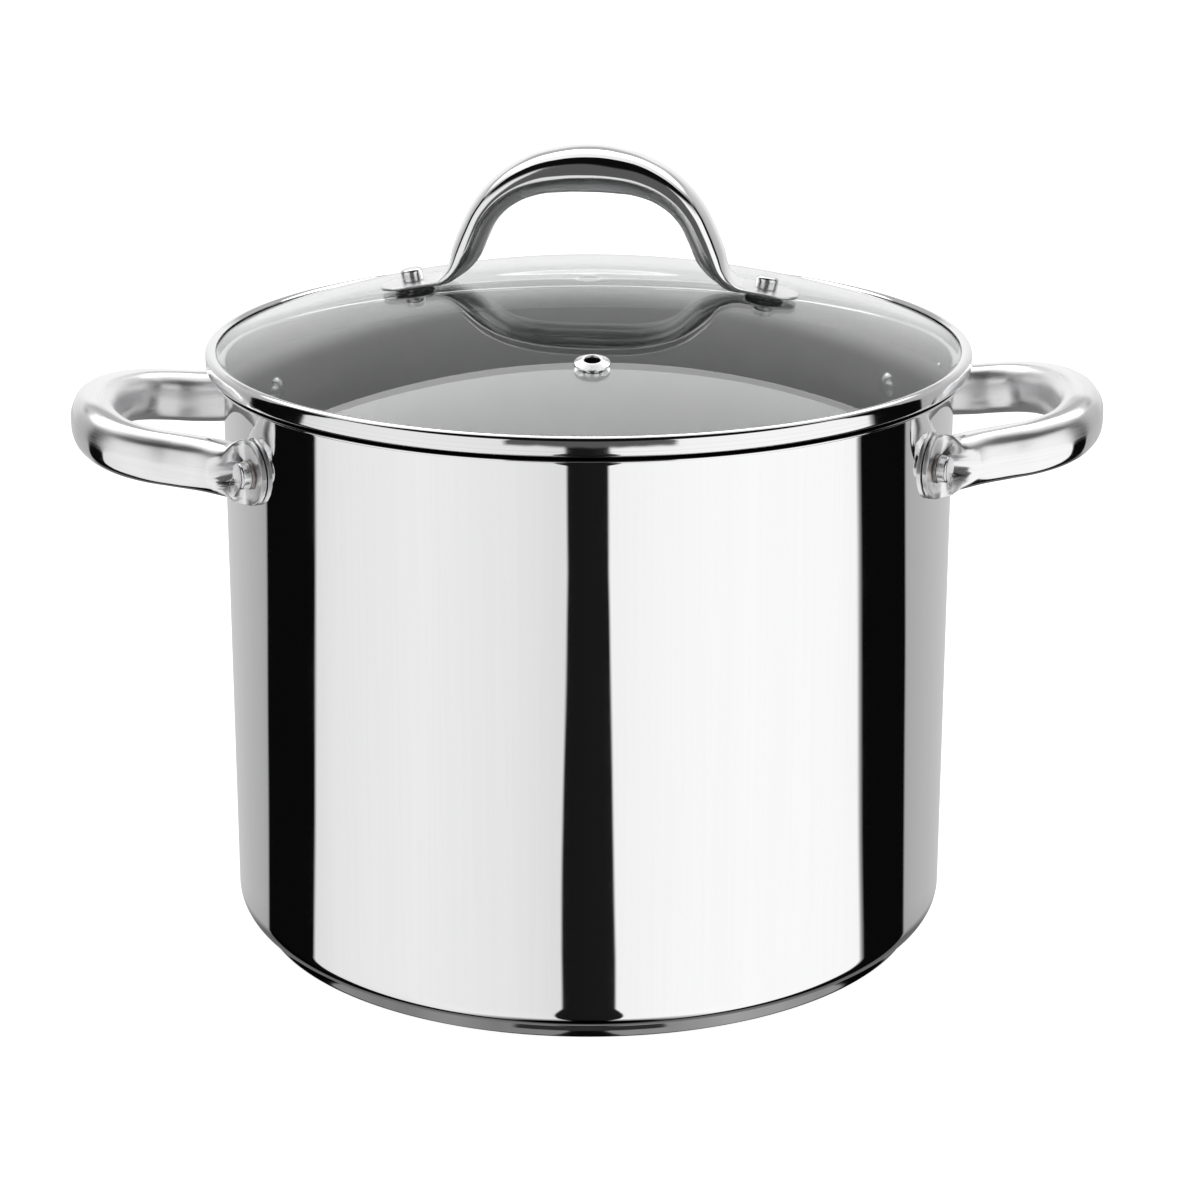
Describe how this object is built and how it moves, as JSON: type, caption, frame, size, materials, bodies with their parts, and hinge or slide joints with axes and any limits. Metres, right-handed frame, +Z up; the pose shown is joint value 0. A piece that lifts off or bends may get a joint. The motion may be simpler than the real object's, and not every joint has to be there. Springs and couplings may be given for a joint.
{
  "type": "stock pot",
  "caption": "Tall straight-sided steel cooking pot with riveted loop handles and a lift-off domed glass lid with a steam vent.",
  "frame": {"origin": "centre of the base's flat underside, on the surface the pot stands on", "axes": "+Z up along the pot's axis, +X through the side handles"},
  "size_m": [0.3422, 0.2526, 0.2648],
  "materials": {
    "mirror_steel": "mirror-polished stainless steel",
    "satin_steel": "satin stainless steel",
    "aluminium": "plain rolled disc",
    "silicone": "matt black silicone",
    "clear_glass": "clear tempered glass"
  },
  "bodies": {
    "pot": {"pot_shell": "mirror_steel", "base_core": "aluminium", "base_cap": "satin_steel", "side_handle_right": "mirror_steel", "side_handle_left": "mirror_steel", "pot_rivet_right_back": "satin_steel", "pot_washer_right_back": "satin_steel", "pot_rivet_right_front": "satin_steel", "pot_washer_right_front": "satin_steel", "pot_rivet_left_back": "satin_steel", "pot_washer_left_back": "satin_steel", "pot_rivet_left_front": "satin_steel", "pot_washer_left_front": "satin_steel"},
    "lid": {"lid_glass": "clear_glass", "lid_rim_band": "mirror_steel", "vent_eyelet": "mirror_steel", "vent_washer": "satin_steel", "lid_handle": "mirror_steel", "lid_rivet_right": "satin_steel", "lid_pad_right": "silicone", "lid_under_seal_right": "silicone", "lid_under_washer_right": "satin_steel", "lid_rivet_left": "satin_steel", "lid_pad_left": "silicone", "lid_under_seal_left": "silicone", "lid_under_washer_left": "satin_steel"}
  },
  "joints": [
    {"name": "lid_lift", "type": "slide", "parent": "pot", "child": "lid", "axis": [0, 0, 1], "range_m": [0, 0.3]}
  ]
}
